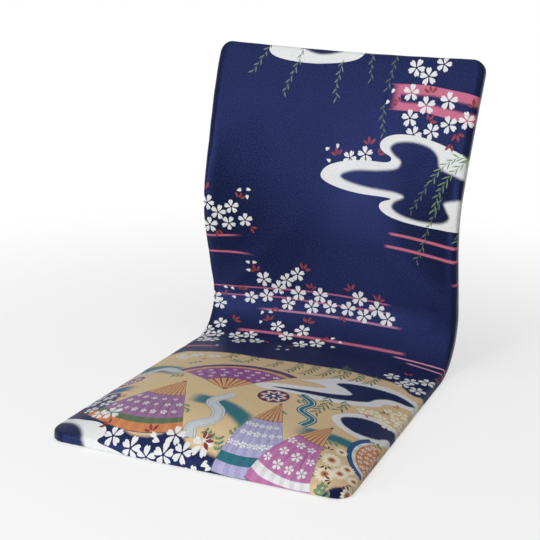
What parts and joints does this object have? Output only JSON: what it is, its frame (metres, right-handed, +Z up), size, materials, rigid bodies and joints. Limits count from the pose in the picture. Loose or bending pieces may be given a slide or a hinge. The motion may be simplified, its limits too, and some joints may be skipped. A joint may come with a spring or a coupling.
{
  "type": "tatami chair",
  "caption": "Legless tatami chair: one bent plywood sheet as seat and back, foam padding and a navy satin cover with a printed blossom pattern",
  "frame": {"origin": "middle of the chair's box at floor level", "axes": "+Z is up, the sitter faces -Y and +X is across the chair"},
  "size_m": [0.3974, 0.5138, 0.4362],
  "materials": {
    "wood": "sanded, unvarnished",
    "foam": "open-cell foam",
    "printed_cloth": "printed satin",
    "rear_cloth": "plain weave",
    "staple_wire": "bright"
  },
  "bodies": {
    "root": {"shell_ply_1": "wood", "shell_ply_2": "wood", "shell_ply_3": "wood", "shell_ply_4": "wood", "shell_ply_5": "wood", "shell_ply_6": "wood", "shell_ply_7": "wood", "seat_foam": "foam", "back_foam": "foam", "front_cover": "printed_cloth", "cover_staples": "staple_wire", "rear_cloth": "rear_cloth", "rear_staples": "staple_wire"}
  },
  "joints": []
}
